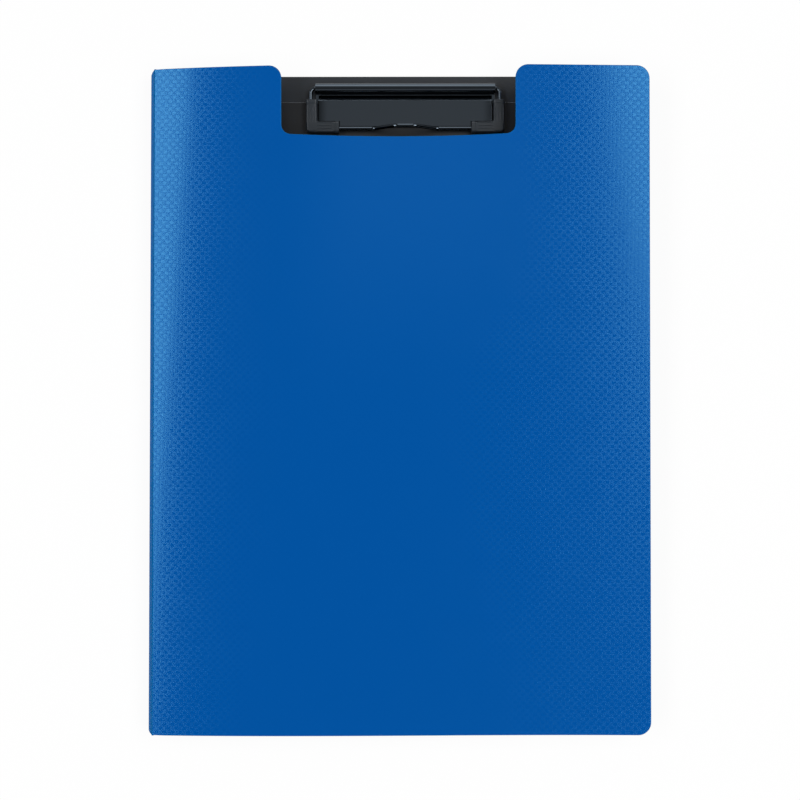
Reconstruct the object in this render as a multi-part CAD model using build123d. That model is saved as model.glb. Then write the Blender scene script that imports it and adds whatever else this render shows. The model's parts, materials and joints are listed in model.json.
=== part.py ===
from build123d import *
from math import asin, atan, cos, radians, sin, tan
import os

# Clipboard folder for A4 sheets, lying closed on its back cover, in millimetres.
# +X runs from the spine to the free edge, +Y from the bottom edge to the top edge, +Z up.
# The origin is below the middle of the folder, on the surface that it lies on.

# Creased cover sheet
cover_height = 315.0
panel_span = 234.12
sheet_thickness = 1.0
spine_width = 15.0
spine_lean = 16.6
spine_bulge = 0.5
crease_gap = 0.35
cover_corner_radius = 6.1

# How far the front cover's free edge stands above its crease, and its slopes in degrees, at each end
top_edge_rise = 6.0
top_angle_at_crease = 9.09
top_angle_at_free_edge = -2.18
bottom_edge_rise = 0.9
bottom_angle_at_crease = 3.6
bottom_angle_at_free_edge = 2.06

# Notch in the front cover's top edge, which leaves the clip free
notch_from_crease = 115.72
notch_width = 110.1
notch_depth = 34.0
notch_bow = 1.5
notch_corner_radius = 4.6
notch_mouth_radius = 6.0

# Backing board and the sheet that lines it
board_thickness = 2.0
board_from_crease = 8.5
board_edge_inset = 3.0
board_bottom_inset = 2.0
board_corner_radius = 4.0
liner_thickness = 0.4
liner_from_top = 12.7
liner_edge_inset = 1.5

# Clip: a steel base with a barrel, and a wire bail that turns in it
clip_from_crease = 123.35
barrel_from_top = 6.5
barrel_length = 86.7
barrel_diameter = 4.8
wire_diameter = 1.9
turning_clearance = 0.05
clip_sheet = 0.8
trough_width = 3.42
trough_slope = 2.75
pad_rise = 1.2
pad_edge_round = 0.15
clip_clearance = 0.35
bail_reach = 19.6
bail_beyond_barrel = 2.35
wire_bend_radius = 2.3
wire_end_gap = 24.0

# Finger arch in the middle of the bail's front wire
arch_rise = 6.2
arch_base_width = 30.0
arch_top_width = 9.2
arch_bend_radius = 5.0

# Vinyl caps on the bail's two front corners
cap_width = 5.3
cap_height = 3.7
cap_offset = 0.5
cap_arm_length = 15.9
cap_outer_round = 2.2
cap_inner_round = 1.4
cap_edge_round = 1.1
cap_bore_clearance = 0.03
collar_length = 1.8
collar_flare = 0.25

# Tabs that hold the clip base to the board
tab_width = 7.0
tab_foot = 4.5
tab_clearance = 0.15
front_tab_from_middle = 20.0

# Places worked out from the sizes above
half_height = cover_height / 2
half_sheet = sheet_thickness / 2
lean_across = spine_width * sin(radians(spine_lean))
lean_up = spine_width * cos(radians(spine_lean))
total_width = half_sheet + lean_across + panel_span
back_crease_x = half_sheet - total_width / 2
front_crease_x = back_crease_x + lean_across
free_edge_x = front_crease_x + panel_span
back_edge_x = back_crease_x + panel_span
crease_z = half_sheet
front_crease_z = crease_z + lean_up
board_bottom = sheet_thickness
board_top = board_bottom + board_thickness
liner_top = board_top + liner_thickness
clip_x = back_crease_x + clip_from_crease
barrel_y = half_height - barrel_from_top
barrel_z = liner_top + barrel_diameter / 2
wire_radius = wire_diameter / 2
bail_front_y = barrel_y - bail_reach
bail_half_width = barrel_length / 2 + bail_beyond_barrel
cap_x = bail_half_width - cap_offset
cap_y = bail_front_y + cap_offset
cap_reach = cap_width / 2
pad_top = liner_top + clip_sheet + pad_rise
pad_half_width = cap_x - cap_reach - collar_flare - clip_clearance
pad_back_y = barrel_y - barrel_diameter / 2 - trough_width
pad_front_y = bail_front_y + wire_radius + clip_clearance
pad_step_y = cap_y + cap_reach + collar_flare + clip_clearance
tongue_half_width = cap_x + cap_reach - cap_arm_length - clip_clearance
flange_y = cap_y - cap_reach + cap_arm_length + clip_clearance


def box(x, y, z):
    """A box between two values along each axis."""
    size = Box(x[1] - x[0], y[1] - y[0], z[1] - z[0])
    return Pos((x[0] + x[1]) / 2, (y[0] + y[1]) / 2, (z[0] + z[1]) / 2) * size


def crease_bead(x, z):
    """The round web of a crease, which the next panel turns about."""
    return Pos(x, 0, z) * Rot(90, 0, 0) * Cylinder(half_sheet, cover_height)


def panel_outline(start_x, end_x, notched):
    """A cover panel seen from above, rounded at the free edge, with or without the notch."""
    r = cover_corner_radius
    turn = r * sin(radians(45))
    centre_x, centre_y = end_x - r, half_height - r
    points = [(start_x, -half_height), (centre_x, -half_height)]
    lines = [Line(*points)]
    lines += [ThreePointArc(points[1], (centre_x + turn, -centre_y - turn), (end_x, -centre_y))]
    lines += [Line((end_x, -centre_y), (end_x, centre_y))]
    lines += [ThreePointArc((end_x, centre_y), (centre_x + turn, centre_y + turn), (centre_x, half_height))]
    last = (centre_x, half_height)
    if notched:
        notch = notch_lines(start_x + notch_from_crease)
        lines += [Line(last, notch[0] @ 0)] + notch
        last = notch[-1] @ 1
    lines += [Line(last, (start_x, half_height)), Line((start_x, half_height), (start_x, -half_height))]
    return make_face(Wire(lines).edges())


def notch_lines(middle_x):
    """The notch's edge, from its right mouth corner round to its left one."""
    mouth, inner = notch_mouth_radius, notch_corner_radius
    side_bottom = half_height - notch_depth + notch_bow
    right = notch_side(middle_x, 1, mouth, inner, side_bottom)
    left = notch_side(middle_x, -1, mouth, inner, side_bottom)
    foot = notch_width / 2 - inner
    floor = ThreePointArc(
        (middle_x + foot, side_bottom),
        (middle_x, half_height - notch_depth),
        (middle_x - foot, side_bottom),
    )
    return right + [floor] + [reverse_edge(edge) for edge in reversed(left)]


def notch_side(middle_x, side, mouth, inner, side_bottom):
    """One side of the notch, from the cover's top edge to the notch's floor."""
    x = middle_x + side * notch_width / 2
    bend = sin(radians(45))
    mouth_x, mouth_y = x + side * mouth, half_height - mouth
    inner_x, inner_y = x - side * inner, side_bottom + inner
    return [
        ThreePointArc((mouth_x, half_height), (mouth_x - side * mouth * bend, mouth_y + mouth * bend), (x, mouth_y)),
        Line((x, mouth_y), (x, inner_y)),
        ThreePointArc((x, inner_y), (inner_x + side * inner * bend, inner_y - inner * bend), (inner_x, side_bottom)),
    ]


def reverse_edge(edge):
    """The same arc or line, run the other way."""
    if edge.geom_type == GeomType.LINE:
        return Line(edge @ 1, edge @ 0)
    return ThreePointArc(edge @ 1, edge @ 0.5, edge @ 0)


def cover_strip(y, rise, angle_at_crease, angle_at_edge):
    """The front cover's section at one height of the folder: a thin strip along a cubic curve."""
    third = panel_span / 3
    middle = [
        (front_crease_x, front_crease_z),
        (front_crease_x + third, front_crease_z + tan(radians(angle_at_crease)) * third),
        (free_edge_x - third, front_crease_z + rise - tan(radians(angle_at_edge)) * third),
        (free_edge_x, front_crease_z + rise),
    ]
    upper = [(x, y, z + half_sheet) for x, z in middle]
    lower = [(x, y, z - half_sheet) for x, z in reversed(middle)]
    edges = [Bezier(*upper), Line(upper[-1], lower[0]), Bezier(*lower), Line(lower[-1], upper[0])]
    return make_face(Wire(edges).edges())


def make_front_cover():
    """Creased front panel, bowed at the top more than at the bottom, with the notch cut in it."""
    bottom = cover_strip(-half_height, bottom_edge_rise, bottom_angle_at_crease, bottom_angle_at_free_edge)
    top = cover_strip(half_height, top_edge_rise, top_angle_at_crease, top_angle_at_free_edge)
    sheet = loft([bottom, top], ruled=True)
    outline = panel_outline(front_crease_x, free_edge_x, notched=True)
    cutter = extrude(outline, 2 * (front_crease_z + panel_span))
    return (sheet & cutter) + crease_bead(front_crease_x, front_crease_z)


def make_back_cover():
    """Flat back panel, which the folder lies on, with the back crease at its edge."""
    outline = panel_outline(back_crease_x, back_edge_x, notched=False)
    return extrude(outline, sheet_thickness) + crease_bead(back_crease_x, crease_z)


def spine_arc(offset):
    """One face of the spine's section, which bulges away from the free edge, from low to high."""
    radius = (spine_width**2 / 4 + spine_bulge**2) / (2 * spine_bulge)
    half_turn = asin(spine_width / 2 / radius) - (half_sheet + crease_gap) / radius
    reach = radius + offset
    turns = (-half_turn, 0, half_turn)
    centre_x, centre_z = radius - spine_bulge, spine_width / 2
    points = [(centre_x - reach * cos(t), -half_height, centre_z + reach * sin(t)) for t in turns]
    return ThreePointArc(*points)


def make_spine():
    """Slightly bulging strip between the two creases, leaning towards the free edge."""
    outer, inner = spine_arc(half_sheet), spine_arc(-half_sheet)
    edges = [outer, Line(outer @ 1, inner @ 1), inner, Line(inner @ 0, outer @ 0)]
    strip = extrude(make_face(Wire(edges).edges()), cover_height, dir=(0, 1, 0))
    return Pos(back_crease_x, 0, crease_z) * Rot(0, spine_lean, 0) * strip


def tab_places():
    """Where each tab goes through the board: its middle, its direction inwards, and its width along X or Y."""
    side = pad_half_width - clip_sheet / 2
    side_y = (pad_step_y + pad_back_y) / 2
    front = pad_front_y + clip_sheet / 2
    places = [(clip_x + s * side, side_y, -s, 0) for s in (-1, 1)]
    places += [(clip_x + s * front_tab_from_middle, front, 0, 1) for s in (-1, 1)]
    return places


def tab_solid(place, grow):
    """One tab: a leg down through the board and a foot clinched under it, grown all round by a clearance."""
    x, y, inward_x, inward_y = place
    half_leg = clip_sheet / 2 + grow
    half_width = tab_width / 2 + grow
    foot_top = board_bottom + clip_sheet + 2 * tab_clearance
    half_x = half_leg if inward_x else half_width
    half_y = half_width if inward_x else half_leg
    low = board_bottom + tab_clearance - grow
    leg = box((x - half_x, x + half_x), (y - half_y, y + half_y), (low, liner_top + clip_sheet))
    reach_x, reach_y = inward_x * tab_foot, inward_y * tab_foot
    foot = box(
        (min(x - half_x, x - half_x + reach_x), max(x + half_x, x + half_x + reach_x)),
        (min(y - half_y, y - half_y + reach_y), max(y + half_y, y + half_y + reach_y)),
        (low, foot_top - tab_clearance + grow),
    )
    return leg + foot


def board_outline(inset, top_y):
    """The board's rounded outline, brought in by an inset at the spine, free edge and bottom."""
    left = back_crease_x + board_from_crease + inset
    right = back_edge_x - board_edge_inset - inset
    bottom = -half_height + board_bottom_inset + inset
    flat = RectangleRounded(right - left, top_y - bottom, board_corner_radius)
    return Pos((left + right) / 2, (top_y + bottom) / 2) * flat


def make_backing_board():
    """Stiff board on the back cover, slotted and pocketed for the clip's tabs."""
    board = Pos(0, 0, board_bottom) * extrude(board_outline(0, half_height), board_thickness)
    for place in tab_places():
        board -= tab_solid(place, tab_clearance)
    return board


def make_board_liner():
    """Thin sheet on the board, under the paper and the clip."""
    outline = board_outline(liner_edge_inset, half_height - liner_from_top)
    liner = Pos(0, 0, board_top) * extrude(outline, liner_thickness)
    for place in tab_places():
        liner -= tab_solid(place, tab_clearance)
    return liner


def pad_outline(inset):
    """The clip pad's outline: full width behind the caps' arms, narrower between them."""
    wide, narrow = pad_half_width - inset, tongue_half_width - inset
    back, step, front = pad_back_y - inset, pad_step_y + inset, pad_front_y + inset
    half = [(wide, back), (wide, step), (narrow, step), (narrow, front)]
    points = [(clip_x + x, y) for x, y in half] + [(clip_x - x, y) for x, y in reversed(half)]
    return make_face(Polyline(*points, close=True).edges())


def span_about_clip(half_width):
    """The two X values at a half width each side of the clip's middle."""
    return (clip_x - half_width, clip_x + half_width)


def along_clip(points, half_width):
    """A prism with a section of Y and Z values, reaching a half width each side of the clip's middle."""
    low_x, high_x = span_about_clip(half_width)
    section = Polyline(*[(low_x, y, z) for y, z in points], close=True)
    return extrude(make_face(section.edges()), high_x - low_x, dir=(1, 0, 0))


def make_clip_base():
    """Pressed steel base: a raised pad that slopes down behind, the barrel and four clinched tabs."""
    sheet_top = liner_top + clip_sheet
    foot_y = pad_back_y + trough_slope
    bend_shift = clip_sheet * tan(atan(pad_rise / trough_slope) / 2)
    under_y = pad_back_y - bend_shift
    pad = Pos(0, 0, liner_top) * extrude(pad_outline(0), clip_sheet + pad_rise)
    long_edges = pad.edges().group_by(Axis.Z)[-1].filter_by(Axis.Y).sort_by(Axis.X)
    pad = fillet([long_edges[0], long_edges[-1]], pad_edge_round)
    slope = [(pad_back_y, pad_top), (foot_y, sheet_top), (foot_y, liner_top), (pad_back_y, liner_top)]
    back_y, under_top = under_y - clip_sheet, liner_top + pad_rise
    hollow = [(under_y, under_top), (under_y + trough_slope, liner_top), (back_y, liner_top), (back_y, under_top)]
    pad += along_clip(slope, pad_half_width)
    pad -= Pos(0, 0, liner_top) * extrude(pad_outline(clip_sheet), pad_rise)
    pad -= along_clip(hollow, pad_half_width - clip_sheet)
    level = (liner_top, sheet_top)
    trough = box(span_about_clip(pad_half_width), (foot_y - clip_clearance / 2, barrel_y), level)
    flange = box(span_about_clip(barrel_length / 2), (flange_y, barrel_y), level)
    tube = Pos(clip_x, barrel_y, barrel_z) * Rot(0, 90, 0) * Cylinder(barrel_diameter / 2, barrel_length)
    base = pad + trough + flange + tube
    for place in tab_places():
        base += tab_solid(place, 0)
    bore = Cylinder(wire_radius + turning_clearance, barrel_length + 2 * clip_clearance)
    return base - Pos(clip_x, barrel_y, barrel_z) * Rot(0, 90, 0) * bore


def bail_path():
    """The wire's centre line: both ends lie in the barrel, with the finger arch opposite."""
    side, front, back = bail_half_width, bail_front_y, barrel_y
    half_base, half_top, half_gap = arch_base_width / 2, arch_top_width / 2, wire_end_gap / 2
    half = [(half_gap, back, 0), (side, back, 0), (side, front, 0), (half_base, front, 0), (half_top, front, arch_rise)]
    right = [(clip_x + x, y, barrel_z + z) for x, y, z in half]
    left = [(clip_x - x, y, barrel_z + z) for x, y, z in reversed(half)]
    bends = [wire_bend_radius, wire_bend_radius, arch_bend_radius, arch_bend_radius]
    return FilletPolyline(*(right + left), radius=bends + bends[::-1])


def bail_tube(radius):
    """Round wire of a given radius along the bail's centre line."""
    path = bail_path()
    return sweep(Plane(path @ 0, z_dir=path % 0) * Circle(radius), path=path)


def nearest_upright(solid, x, y):
    """The solid's upright edge that lies nearest to a place seen from above."""
    return solid.edges().filter_by(Axis.Z).sort_by_distance((x, y, barrel_z))[0]


def make_corner_cap(side):
    """Vinyl elbow over one front corner of the bail, flared to a collar at each end."""
    corner_x = clip_x + side * (cap_x + cap_reach)
    corner_y = cap_y - cap_reach
    inner_x = corner_x - side * cap_width
    half_cap = cap_height / 2
    level = (barrel_z - half_cap, barrel_z + half_cap)
    end_x = corner_x - side * cap_arm_length
    end_y = corner_y + cap_arm_length
    arm_up = box(sorted((corner_x, inner_x)), (corner_y, end_y), level)
    arm_across = box(sorted((corner_x, end_x)), (corner_y, corner_y + cap_width), level)
    cap = arm_up + arm_across
    cap = fillet([nearest_upright(cap, corner_x, corner_y)], cap_outer_round)
    cap = fillet([nearest_upright(cap, inner_x, corner_y + cap_width)], cap_inner_round)
    rims = cap.edges().group_by(Axis.Z)[0] + cap.edges().group_by(Axis.Z)[-1]
    cap = fillet(rims, cap_edge_round)
    cap += collar((corner_x + inner_x) / 2, end_y - collar_length / 2, along_y=True)
    cap += collar(end_x + side * collar_length / 2, corner_y + cap_reach, along_y=False)
    return cap - bail_tube(wire_radius + cap_bore_clearance)


def collar(x, y, along_y):
    """Flared ring at the end of a cap's arm."""
    across, tall = cap_width + 2 * collar_flare, cap_height + 2 * collar_flare
    facing = Plane.XZ if along_y else Plane.YZ
    outline = facing * RectangleRounded(across, tall, cap_edge_round + collar_flare)
    return Pos(x, y, barrel_z) * extrude(outline, collar_length / 2, both=True)


def main():
    """Make every node, write one STEP file for each, and print the wire's length."""
    nodes = {
        "front_cover": make_front_cover(),
        "spine": make_spine(),
        "back_cover": make_back_cover(),
        "backing_board": make_backing_board(),
        "board_liner": make_board_liner(),
        "clip_base": make_clip_base(),
        "bail_wire": bail_tube(wire_radius),
        "corner_cap_left": make_corner_cap(-1),
        "corner_cap_right": make_corner_cap(1),
    }
    os.makedirs("parts", exist_ok=True)
    for name, shape in nodes.items():
        export_step(shape, f"parts/{name}.step")
    print("bail wire length", round(bail_path().length, 1))


main()
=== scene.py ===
"""Clipboard folder for A4 sheets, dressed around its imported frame.

One creased sheet of embossed polypropylene makes the two covers and the spine. A black board with a
liner carries a black steel clip: a pressed base, a wire bail and two vinyl corner caps.
Sizes are in millimetres, and a piece's mesh turns to metres when it is made.
"""

import json
import logging
from dataclasses import dataclass
from enum import Enum
from math import cos, pi, radians, sin, tan
from typing import Callable

import bmesh
import bpy
from bmesh.types import BMesh, BMVert
from bpy.types import Material, Mesh, Node, NodeSocket, NodeTree, Object
from mathutils import Matrix, Vector

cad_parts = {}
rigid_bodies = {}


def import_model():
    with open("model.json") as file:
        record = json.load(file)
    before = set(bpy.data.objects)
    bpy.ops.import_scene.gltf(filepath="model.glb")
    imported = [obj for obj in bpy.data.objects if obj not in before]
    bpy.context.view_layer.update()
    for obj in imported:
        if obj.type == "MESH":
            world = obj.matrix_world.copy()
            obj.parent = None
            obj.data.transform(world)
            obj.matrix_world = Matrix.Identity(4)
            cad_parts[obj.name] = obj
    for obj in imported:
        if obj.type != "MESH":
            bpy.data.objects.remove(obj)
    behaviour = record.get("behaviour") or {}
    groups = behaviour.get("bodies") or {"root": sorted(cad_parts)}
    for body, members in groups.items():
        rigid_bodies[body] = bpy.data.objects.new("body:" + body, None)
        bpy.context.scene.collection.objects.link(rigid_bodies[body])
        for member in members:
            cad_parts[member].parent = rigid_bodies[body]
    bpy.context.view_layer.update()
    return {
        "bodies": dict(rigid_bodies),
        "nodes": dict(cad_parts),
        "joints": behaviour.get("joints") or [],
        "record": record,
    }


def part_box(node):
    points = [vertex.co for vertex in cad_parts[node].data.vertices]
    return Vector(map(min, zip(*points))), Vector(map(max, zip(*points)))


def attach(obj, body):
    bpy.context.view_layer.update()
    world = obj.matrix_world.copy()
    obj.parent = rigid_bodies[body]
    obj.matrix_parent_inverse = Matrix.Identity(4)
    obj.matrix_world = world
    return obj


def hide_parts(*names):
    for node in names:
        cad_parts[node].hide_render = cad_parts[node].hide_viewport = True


MM = 0.001

# How a CAD solid's mesh is cleaned and rounded: degrees, millimetres and steps
MERGE_DISTANCE = 0.002
FLAT_ANGLE = 1
SHARP_ANGLE = 15
ROUNDED_ANGLE = 35
ROUNDING_STEPS = 2
RIM_NORMAL_BELOW = 0.5

# Decimals of a millimetre that tell two places on a flat pattern apart
PLACE_DECIMALS = 4

# Sides of the round sections, and how a rib draws in at its ends
WIRE_SIDES = 24
RIB_SIDES = 10
RIB_STEPS = 13
RIB_END_POWER = 6.0
RIB_END_DRAW = 0.9

LOG = logging.getLogger("clip_folder")

Point = tuple[float, float, float]


class Body(Enum):
    """The bodies that a piece can ride on."""

    BACK = "back"
    SPINE = "spine"
    FRONT = "front"
    BAIL = "bail"


class Arm(Enum):
    """The two arms of a corner cap."""

    UP = "up"
    ACROSS = "across"


def srgb(hex_colour: str) -> tuple[float, float, float, float]:
    """Turn an sRGB hex value into the linear colour that a socket takes.

    Args:
        hex_colour: A colour such as "#0050a0".

    Returns:
        Linear red, green, blue and an alpha of 1.
    """
    shares = [int(hex_colour[i : i + 2], 16) / 255 for i in (1, 3, 5)]
    linear = [v / 12.92 if v <= 0.04045 else ((v + 0.055) / 1.055) ** 2.4 for v in shares]
    return (*linear, 1.0)


def add_node(tree: NodeTree, kind: str, inputs: dict | None = None, **settings: object) -> Node:
    """Add a node to a tree, with its settings, its inputs' values and its links.

    Args:
        tree: The shader or geometry tree.
        kind: The node's type name.
        inputs: Socket name or number to a value, or to the output socket that feeds it.
        **settings: The node's own properties.

    Returns:
        The new node.
    """
    node = tree.nodes.new(kind)
    for name, value in settings.items():
        setattr(node, name, value)
    for socket, value in (inputs or {}).items():
        if isinstance(value, NodeSocket):
            tree.links.new(value, node.inputs[socket])
        else:
            node.inputs[socket].default_value = value
    return node


def new_material(name: str) -> tuple[Material, NodeTree, Node]:
    """Make a material that holds only a Principled shader and its output.

    Args:
        name: The real material's name.

    Returns:
        The material, its node tree and its Principled node.
    """
    material = bpy.data.materials.new(name)
    material.use_nodes = True
    tree = material.node_tree
    tree.nodes.clear()
    shader = add_node(tree, "ShaderNodeBsdfPrincipled")
    add_node(tree, "ShaderNodeOutputMaterial", {"Surface": shader.outputs["BSDF"]})
    return material, tree, shader


def give_relief(
    tree: NodeTree,
    shader: Node,
    relief: tuple[NodeSocket, float],
    wear: NodeSocket,
    roughness: tuple[float, float],
) -> None:
    """Press a relief into a shader's surface and let its roughness wander.

    Args:
        tree: The material's tree.
        shader: Its Principled node.
        relief: The relief's height from 0 to 1, and its depth in millimetres.
        wear: What the roughness follows, from 0 to 1.
        roughness: The middle roughness, and how far it goes to each side.
    """
    height, depth = relief
    bump = add_node(tree, "ShaderNodeBump", {"Distance": depth * MM, "Height": height})
    middle, spread = roughness
    ends = {"To Min": middle - spread, "To Max": middle + spread}
    wander = add_node(tree, "ShaderNodeMapRange", {"Value": wear, **ends})
    tree.links.new(wander.outputs["Result"], shader.inputs["Roughness"])
    tree.links.new(bump.outputs["Normal"], shader.inputs["Normal"])


@dataclass(frozen=True)
class EmbossedPolypropylene:
    """Blue polypropylene sheet, extruded, and pressed between rollers with a fine plain weave."""

    # The pressed threads give the satin face rows of small glints where a lamp grazes it, and its
    # sheen is as blue as the sheet. The die-cut edges and crease beads are smooth and dull; their
    # own blue without the sheen is painted shade, the thin dark line along them.
    name: str = "embossed_polypropylene"
    colour: str = "#004b95"
    shaded_edge_colour: str = "#0a5a92"
    glare: str = "#7cdaff"
    ior: float = 1.49
    crest_specular: float = 0.55
    groove_specular: float = 0.475
    crest_roughness: float = 0.1
    groove_roughness: float = 0.19
    glossy_from: float = 0.3
    glossy_to: float = 0.6
    mottle_size: float = 18.0
    mottle_spread: float = 0.03
    mottle_detail: float = 3.0
    edge_roughness: float = 0.6
    thread_spacing: tuple[float, float] = (1.89, 1.86)
    weave_turn: float = 1.1
    weave_depth: float = 0.005
    crossing: float = 0.5

    def build(self) -> Material:
        """Make the material. The weave follows each sheet's own flat coordinates.

        Returns:
            The material.
        """
        material, tree, shader = new_material(self.name)
        flat = add_node(tree, "ShaderNodeAttribute", attribute_name="flat")
        cut = add_node(tree, "ShaderNodeAttribute", attribute_name="cut")
        uncut = {0: 1.0, 1: cut.outputs["Fac"]}
        face = add_node(tree, "ShaderNodeMath", uncut, operation="SUBTRACT")
        height, cushion = self.weave(tree, flat.outputs["Vector"])
        bump = add_node(
            tree,
            "ShaderNodeBump",
            {"Strength": face.outputs[0], "Distance": self.weave_depth * MM, "Height": height},
        )
        mottle = add_node(
            tree,
            "ShaderNodeTexNoise",
            {
                "Vector": flat.outputs["Vector"],
                "Scale": 1 / self.mottle_size,
                "Detail": self.mottle_detail,
            },
        )
        groove = add_node(
            tree,
            "ShaderNodeMapRange",
            {
                "Value": mottle.outputs["Fac"],
                "To Min": self.groove_roughness - self.mottle_spread,
                "To Max": self.groove_roughness + self.mottle_spread,
            },
        )
        crests = {"Value": cushion, "From Min": self.glossy_from, "From Max": self.glossy_to}
        satin = add_node(
            tree,
            "ShaderNodeMapRange",
            {**crests, "To Min": groove.outputs["Result"], "To Max": self.crest_roughness},
        )
        roughness = add_node(
            tree,
            "ShaderNodeMix",
            {"Factor": cut.outputs["Fac"], "A": satin.outputs["Result"], "B": self.edge_roughness},
            data_type="FLOAT",
        )
        polish = add_node(
            tree,
            "ShaderNodeMapRange",
            {**crests, "To Min": self.groove_specular, "To Max": self.crest_specular},
        )
        gloss = add_node(
            tree,
            "ShaderNodeMath",
            {0: face.outputs[0], 1: polish.outputs["Result"]},
            operation="MULTIPLY",
        )
        # Sockets 6 and 7 of a mix node are its two colours, and 2 and 3 its two plain numbers.
        # Cut edges and crease beads take the shaded edge blue with no sheen: painted shade.
        colour = add_node(
            tree,
            "ShaderNodeMix",
            {"Factor": cut.outputs["Fac"], 6: srgb(self.colour), 7: srgb(self.shaded_edge_colour)},
            data_type="RGBA",
        )
        tree.links.new(colour.outputs[2], shader.inputs["Base Color"])
        tree.links.new(roughness.outputs[0], shader.inputs["Roughness"])
        tree.links.new(gloss.outputs[0], shader.inputs["Specular IOR Level"])
        tree.links.new(bump.outputs["Normal"], shader.inputs["Normal"])
        shader.inputs["IOR"].default_value = self.ior
        shader.inputs["Specular Tint"].default_value = srgb(self.glare)
        return material

    def weave(self, tree: NodeTree, flat: NodeSocket) -> tuple[NodeSocket, NodeSocket]:
        """Work out a plain weave, from 0 between threads to 1 on a crest.

        Args:
            tree: The material's tree.
            flat: Place on the flat blank in millimetres.

        Returns:
            The output sockets of the weave's height and of the height of its level threads alone.
        """
        across_spacing, along_spacing = self.thread_spacing
        threads = add_node(
            tree,
            "ShaderNodeMapping",
            {
                "Vector": flat,
                "Rotation": (0, 0, radians(self.weave_turn)),
                "Scale": (1 / across_spacing, 1 / along_spacing, 1),
            },
        )
        axes = add_node(tree, "ShaderNodeSeparateXYZ", {"Vector": threads.outputs["Vector"]})
        # A crest falls as a parabola to its thread's sides, and dips where another crosses it. The
        # factors 4 and 16 turn the square and the fourth power of half a cell to 1.
        kind = "ShaderNodeMath"
        crests, dips, cells = [], [], []
        for axis in ("X", "Y"):
            place = axes.outputs[axis]
            part = add_node(tree, kind, {0: place}, operation="FRACT").outputs[0]
            off = add_node(tree, kind, {0: part, 1: 0.5}, operation="SUBTRACT").outputs[0]
            square = add_node(tree, kind, {0: off, 1: off}, operation="MULTIPLY").outputs[0]
            fourth = add_node(tree, kind, {0: square, 1: square}, operation="MULTIPLY").outputs[0]
            fall = {0: square, 1: -4.0, 2: 1.0}
            crests.append(add_node(tree, kind, fall, operation="MULTIPLY_ADD").outputs[0])
            fall = {0: fourth, 1: -16.0 * (1 - self.crossing), 2: 1.0}
            dips.append(add_node(tree, kind, fall, operation="MULTIPLY_ADD").outputs[0])
            cells.append(add_node(tree, kind, {0: place}, operation="FLOOR").outputs[0])
        level_thread, upright_thread = (
            add_node(tree, kind, {0: crest, 1: dip}, operation="MULTIPLY").outputs[0]
            for crest, dip in ((crests[1], dips[0]), (crests[0], dips[1]))
        )
        cell = add_node(tree, kind, dict(enumerate(cells)), operation="ADD").outputs[0]
        odd = add_node(tree, kind, {0: cell, 1: 2.0}, operation="FLOORED_MODULO").outputs[0]
        even = add_node(tree, kind, {0: 1.0, 1: odd}, operation="SUBTRACT").outputs[0]
        level = {0: level_thread, 1: even}
        cushion = add_node(tree, kind, level, operation="MULTIPLY").outputs[0]
        pair = {0: upright_thread, 1: level_thread}
        rise = add_node(tree, kind, pair, operation="SUBTRACT").outputs[0]
        woven = {0: rise, 1: odd, 2: level_thread}
        return add_node(tree, kind, woven, operation="MULTIPLY_ADD").outputs[0], cushion


@dataclass(frozen=True)
class GrainedPlastic:
    """Black moulded or extruded plastic with a fine spark-eroded grain, satin to matte."""

    # The grain spreads a lamp's reflection into a wide dim patch, so the black looks soft and dry,
    # and the rubbed patches keep it from looking painted.
    name: str
    colour: str
    roughness: float
    grain_size: float = 0.35
    grain_depth: float = 0.02
    rubbed_size: float = 22.0
    rubbed_spread: float = 0.05
    grain_detail: float = 2.0
    rubbed_detail: float = 4.0
    specular: float = 0.35
    ior: float = 1.5

    def build(self) -> Material:
        """Make the material, with its grain on object coordinates.

        Returns:
            The material.
        """
        material, tree, shader = new_material(self.name)
        place = add_node(tree, "ShaderNodeTexCoord").outputs["Object"]
        fine = {"Scale": 1 / (self.grain_size * MM), "Detail": self.grain_detail}
        grain = add_node(tree, "ShaderNodeTexNoise", {"Vector": place, **fine})
        broad = {"Scale": 1 / (self.rubbed_size * MM), "Detail": self.rubbed_detail}
        rubbed = add_node(tree, "ShaderNodeTexNoise", {"Vector": place, **broad})
        relief = (grain.outputs["Fac"], self.grain_depth)
        roughness = (self.roughness, self.rubbed_spread)
        give_relief(tree, shader, relief, rubbed.outputs["Fac"], roughness)
        shader.inputs["Base Color"].default_value = srgb(self.colour)
        shader.inputs["IOR"].default_value = self.ior
        shader.inputs["Specular IOR Level"].default_value = self.specular
        return material


@dataclass(frozen=True)
class BlackPlatedSteel:
    """Steel pressed or drawn, then plated black."""

    # A dark metal mirrors the room dimly and almost sharply, so a flat part looks slate grey, a
    # sloping part turns black, and a round part carries one thin bright line.
    name: str
    colour: str = "#424950"
    roughness: float = 0.14
    mark_length: float = 9.0
    mark_width: float = 0.4
    mark_depth: float = 0.004
    mark_detail: float = 2.0
    roughness_spread: float = 0.04

    def build(self) -> Material:
        """Make the material, with faint rolling marks along the clip.

        Returns:
            The material.
        """
        material, tree, shader = new_material(self.name)
        place = add_node(tree, "ShaderNodeTexCoord")
        sizes = (self.mark_length, self.mark_width, self.mark_width)
        stretched = add_node(
            tree,
            "ShaderNodeMapping",
            {
                "Vector": place.outputs["Object"],
                "Scale": tuple(1 / (size * MM) for size in sizes),
            },
        )
        marks = add_node(
            tree,
            "ShaderNodeTexNoise",
            {"Vector": stretched.outputs["Vector"], "Scale": 1.0, "Detail": self.mark_detail},
        )
        relief = (marks.outputs["Fac"], self.mark_depth)
        roughness = (self.roughness, self.roughness_spread)
        give_relief(tree, shader, relief, marks.outputs["Fac"], roughness)
        shader.inputs["Base Color"].default_value = srgb(self.colour)
        shader.inputs["Metallic"].default_value = 1.0
        return material


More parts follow.
